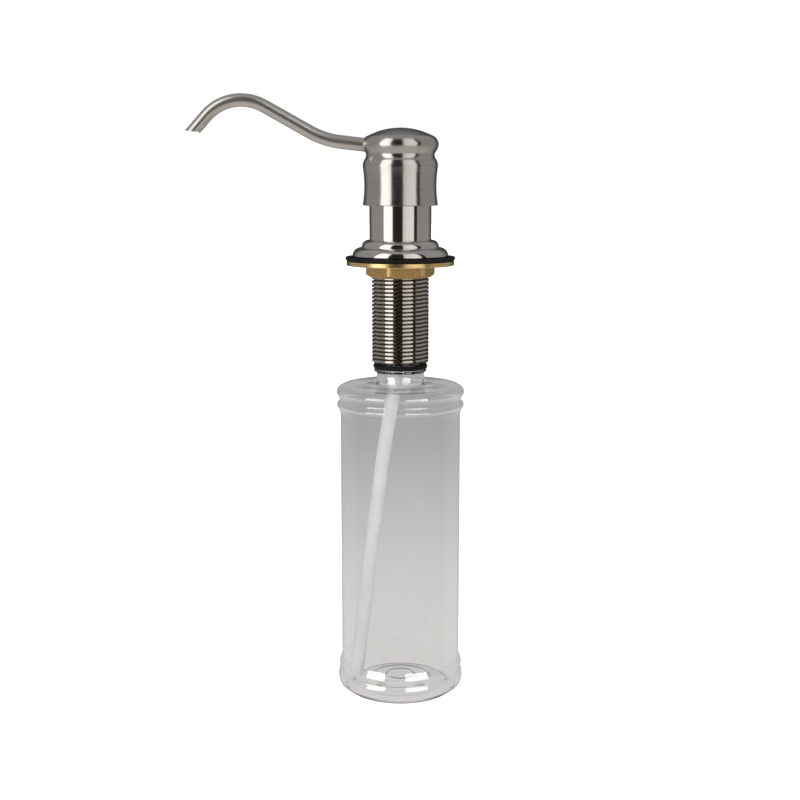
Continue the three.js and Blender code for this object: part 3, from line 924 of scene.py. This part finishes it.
def spout_shape():
    """A drawn tube that tapers slightly and is cut off by a nearly level plane at the tip."""
    corners = [*SPOUT_ROUTE, (SPOUT_TIP.x, SPOUT_TIP.z, 0)]
    bends = filleted_route(corners, 24)
    route = []
    for a, b in zip(bends, bends[1:]):
        pieces = max(1, round((Vector(b) - Vector(a)).length / 1.5))
        route += [tuple(Vector(a).lerp(Vector(b), i / pieces)) for i in range(pieces)]
    route.append(bends[-1])
    frames = flat_frames(route)
    count = len(frames) - 1
    outer = [SPOUT.root + (SPOUT.tip - SPOUT.root) * i / count for i in range(count + 1)]
    inner = [radius - SPOUT.wall for radius in outer]
    sides = 64
    points, faces, coordinates = swept(frames, outer, inner, sides)
    tilt = math.radians(SPOUT_TIP.tilt)
    plane = Vector((math.sin(tilt), 0, math.cos(tilt)))
    tip, ahead = frames[-1][0], (frames[-1][0] - frames[-2][0]).normalized()
    for wall in range(2):
        for i in range(sides):
            k = (wall * (count + 1) + count) * sides + i
            points[k] = points[k] + ahead * (plane.dot(tip - points[k]) / plane.dot(ahead))
    return points, faces, coordinates


def spout_seal_shape():
    s = SPOUT_SEAL
    (x0, z0, _), (x1, z1, _) = SPOUT_ROUTE[:2]
    slope = (z1 - z0) / (x0 - x1)
    count = 8
    route = []
    for i in range(count + 1):
        distance = s.start + (s.end - s.start) * i / count
        route.append((-distance, z0 + slope * (distance + x0)))
    frames = flat_frames(route)
    bulge = [s.outer - 0.25 * (2 * i / count - 1) ** 4 for i in range(count + 1)]
    return swept(frames, bulge, [s.inner] * (count + 1), sides=48)


# ---------- Assembly ----------

piece("gasket_ring", "deck_gasket", "root", black_rubber, gasket_shape())
piece("flange_turned", "flange", "root", nickel_fine_painted_lighter, flange_shape())
piece("sleeve_turned", "sleeve", "root", nickel_fine_painted_lighter, sleeve_shape())
piece("shank_thread", "threaded_shank", "root", plated, shank_shape(), crease=50)
piece("washer_turned", "lock_washer", "washer", turned_brass, washer_shape())
piece("nut_hex", "lock_nut", "nut", cast_brass, nut_shape(), crease=25)
piece("seal_ring", "neck_seal", "seal", black_rubber, seal_shape())
blown = piece("bottle_blown", "bottle", "bottle", bottle_plastic, bottle_shape(), crease=60)
piece("collar_cap", "pump_collar", "pump", white, collar_shape())
piece("housing_barrel", "pump_housing", "pump", white, housing_shape())
piece("rim_gasket", "housing_gasket", "pump", black_rubber,
      ring_shape(RIM_GASKET.inner, RIM_GASKET.outer, RIM_GASKET.bottom, RIM_GASKET.top, 0.4))
piece("guide_bush", "stem_guide", "pump", white, guide_shape())
piece("retainer_disc", "valve_retainer", "pump", white,
      ring_shape(RETAINER.hole, RETAINER.outer, RETAINER.bottom, RETAINER.top, 0.15, 96))
piece("dip_tube_drawn", "dip_tube", "pump", milky_tube, dip_tube_shape())
piece("inlet_valve_ball", "inlet_ball", "inlet_valve", steel,
      ball_shape(INLET.ball, INLET.ball_z))
piece("stem_moulded", "piston_stem", "plunger", white, stem_shape())
piece("cup_lips", "piston_cup", "plunger", black_rubber, cup_shape())
piece("outlet_valve_ball", "outlet_ball", "outlet_valve", steel,
      ball_shape(OUTLET.ball, OUTLET.ball_z))
piece("head_turned", "head_shell", "head", nickel, head_shape())
piece("core_moulded", "head_core", "head", white, core_shape())
piece("spout_drawn", "spout_tube", "head", nickel_spout, spout_shape())
piece("spout_ring", "spout_seal", "head", black_rubber, spout_seal_shape())

coil = piece("spring_coil", "return_spring", "pump", steel, spring_shape())
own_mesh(coil)

# ---------- Camera ----------

VIEW = Size(place=(-0.00017, -0.601, 0.0397), look_down=9.93, lens=58.5, sensor=36)  # metres, degrees, mm

camera = bpy.data.objects.new("camera", bpy.data.cameras.new("camera"))
bpy.context.scene.collection.objects.link(camera)
camera.location = VIEW.place
camera.rotation_euler = (math.radians(90 - VIEW.look_down), 0, 0)
camera.data.lens = VIEW.lens
camera.data.sensor_width = VIEW.sensor
camera.data.clip_start = 0.01
bpy.context.scene.camera = camera

# ---------- Studio ----------

FLOOR_Z = (BOTTLE.base - 12.5) * MM  # clear of the bottle when it is unscrewed


def panel_corners(azimuths, distance, heights):
    """Centre, width and height of an upright panel that spans two azimuths, in degrees from the camera."""
    angles = [math.radians(azimuth) for azimuth in azimuths]
    ends = [Vector((math.sin(a), -math.cos(a), 0)) * distance for a in angles]
    centre = (ends[0] + ends[1]) / 2 + Vector((0, 0, sum(heights) / 2))
    return centre, (ends[1] - ends[0]).length, heights[1] - heights[0]


def face_axis(obj, centre):
    """Puts an object at a centre, upright, with its -Z towards the pump's axis."""
    obj.location = centre
    obj.rotation_euler = Vector((centre.x, centre.y, 0)).to_track_quat("Z", "Y").to_euler()


def softbox(name, azimuths, distance, heights, radiance, colour, only=None):
    """A studio panel. Only reflections and shading see it, and only one piece's when a piece is given."""
    centre, width, height = panel_corners(azimuths, distance, heights)
    light = bpy.data.lights.new(name, "AREA")
    light.shape = "RECTANGLE"
    light.size, light.size_y = width, height
    light.energy = radiance * math.pi * width * height
    light.color = colour
    obj = bpy.data.objects.new(name, light)
    bpy.context.scene.collection.objects.link(obj)
    face_axis(obj, centre)
    obj.visible_camera = False
    obj.visible_transmission = False
    if only:
        lit = bpy.data.collections.new(name + "_lights")
        lit.objects.link(only)
        obj.light_linking.receiver_collection = lit


def plain_emission(name, radiance):
    material = bpy.data.materials.new(name)
    material.use_nodes = True
    nodes = material.node_tree.nodes
    nodes.remove(nodes["Principled BSDF"])
    glow = nodes.new("ShaderNodeEmission")
    glow.inputs["Color"].default_value = (*radiance, 1)
    material.node_tree.links.new(glow.outputs[0], nodes["Material Output"].inputs["Surface"])
    return material


def flag(name, azimuths, distance, heights, finish):
    """A dark card that only reflections see."""
    centre, width, height = panel_corners(azimuths, distance, heights)
    w, h = width / 2, height / 2
    mesh = bpy.data.meshes.new(name)
    mesh.from_pydata([(-w, -h, 0), (w, -h, 0), (w, h, 0), (-w, h, 0)], [], [(0, 1, 2, 3)])
    mesh.materials.append(finish)
    obj = bpy.data.objects.new(name, mesh)
    bpy.context.scene.collection.objects.link(obj)
    face_axis(obj, centre)
    obj.visible_camera = False
    obj.visible_transmission = False
    obj.visible_diffuse = False
    obj.visible_shadow = False


WARM = (1.0, 0.98, 0.95)
NEUTRAL = (1, 1, 1)
KEY = Size(distance=0.8, heights=(-0.3, 1.2))
FRONT = Size(distance=0.79, heights=(-0.2, 0.3))
BACK = Size(distance=0.85, heights=(-0.6, 0.6), radiance=0.45)

for name, azimuths, radiance in (
    ("key_left", (-63.5, -37), 1.45),
    ("key_left_inner", (-37, -29), 1.15),
    ("key_right_inner", (9, 20), 0.5),
    ("key_right", (20, 34), 0.62),
    ("key_right_outer", (34, 51), 0.68),
):
    softbox(name, azimuths, KEY.distance, KEY.heights, radiance, WARM)
for name, azimuths, radiance in (("bottle_left", (-63.5, -28), 18.0), ("bottle_right", (9, 51), 16.0)):
    softbox(name, azimuths, FRONT.distance, FRONT.heights, radiance, NEUTRAL, only=blown)
for name, azimuths in (
    ("bottle_back", (140, 220)),
    ("bottle_back_left", (220, 265)),
    ("bottle_back_right", (95, 140)),
):
    softbox(name, azimuths, BACK.distance, BACK.heights, BACK.radiance, NEUTRAL, only=blown)
black_card = plain_emission("black_card", (0.02, 0.018, 0.016))
flag("card_behind_camera", (-29, 9), KEY.distance, KEY.heights, black_card)
flag("card_right_edge", (51, 64), KEY.distance + 0.02, KEY.heights, black_card)


def floor():
    half = 6.0
    mesh = bpy.data.meshes.new("floor")
    corners = [(-half, -half, FLOOR_Z), (half, -half, FLOOR_Z), (half, half, FLOOR_Z), (-half, half, FLOOR_Z)]
    mesh.from_pydata(corners, [], [(0, 1, 2, 3)])
    glow = {"Emission Color": (1, 1, 1, 1), "Emission Strength": 0.5}
    paper = Finish("floor_paper", {"Roughness": 0.9, **glow})
    fibres = paper.noise(paper.place, scale=60, detail=3)
    paper.use(Base_Color=paper.blend(fibres, (0.93, 0.93, 0.93), (0.96, 0.96, 0.96)))
    mesh.materials.append(paper.material)
    obj = bpy.data.objects.new("floor", mesh)
    bpy.context.scene.collection.objects.link(obj)
    obj.visible_glossy = False
    obj.visible_transmission = False
    obj.visible_shadow = False


def studio_world():
    """White round the object, mid grey in reflections, and a grey sweep seen through the clear bottle."""
    world = bpy.data.worlds.new("studio")
    bpy.context.scene.world = world
    world.use_nodes = True
    world.cycles.sampling_method = "NONE"
    nodes, links = world.node_tree.nodes, world.node_tree.links
    background = nodes["Background"]
    path = nodes.new("ShaderNodeLightPath").outputs
    direction = nodes.new("ShaderNodeTexCoord").outputs["Generated"]
    parts = nodes.new("ShaderNodeSeparateXYZ")
    links.new(direction, parts.inputs[0])

    def ramp(axis, low, high, stops):
        reach = nodes.new("ShaderNodeMapRange")
        reach.inputs["From Min"].default_value = low
        reach.inputs["From Max"].default_value = high
        links.new(parts.outputs[axis], reach.inputs["Value"])
        made = nodes.new("ShaderNodeValToRGB")
        elements = made.color_ramp.elements
        while len(elements) < len(stops):
            elements.new(0.5)
        for element, (place, colour) in zip(elements, stops):
            element.position = place
            element.color = (*colour, 1)
        links.new(reach.outputs[0], made.inputs[0])
        return made.outputs[0]

    def choose(factor, a, b):
        mix = nodes.new("ShaderNodeMix")
        mix.data_type = "RGBA"
        links.new(factor, mix.inputs[0])
        for socket, value in ((mix.inputs[6], a), (mix.inputs[7], b)):
            if isinstance(value, tuple):
                socket.default_value = (*value, 1)
            else:
                links.new(value, socket)
        return mix.outputs[2]

    def any_depth(socket):
        over = nodes.new("ShaderNodeMath")
        over.operation = "GREATER_THAN"
        over.inputs[1].default_value = 0.5
        links.new(socket, over.inputs[0])
        return over.outputs[0]

    white_paper = (1.0, 1.0, 1.0)
    dark_wall = (0.07, 0.07, 0.07)
    greys = [
        (0.0, (0.67, 0.655, 0.64)),
        (0.22, (0.655, 0.64, 0.625)),
        (0.4, (0.62, 0.61, 0.6)),
        (0.586, (0.52, 0.515, 0.51)),
        (0.68, (0.46, 0.455, 0.455)),
        (0.775, (0.39, 0.39, 0.39)),
        (1.0, (0.34, 0.34, 0.345)),
    ]
    surround = [
        (0.0, (0.6, 0.585, 0.56)),
        (0.3, (0.4, 0.39, 0.38)),
        (0.45, (0.32, 0.316, 0.312)),
        (1.0, (0.35, 0.358, 0.37)),
    ]
    sweep = ramp("Z", -0.42, -0.1, greys)
    behind = ramp("Y", 0.58, 0.98, [(0.0, (0, 0, 0)), (0.7, (1, 1, 1))])
    reflected = choose(behind, ramp("Z", -1.0, 1.0, surround), dark_wall)
    colour = choose(any_depth(path["Glossy Depth"]), white_paper, reflected)
    colour = choose(any_depth(path["Transmission Depth"]), colour, sweep)
    colour = choose(any_depth(path["Diffuse Depth"]), colour, white_paper)
    links.new(colour, background.inputs["Color"])


floor()
studio_world()
bpy.context.scene.view_settings.view_transform = "Standard"
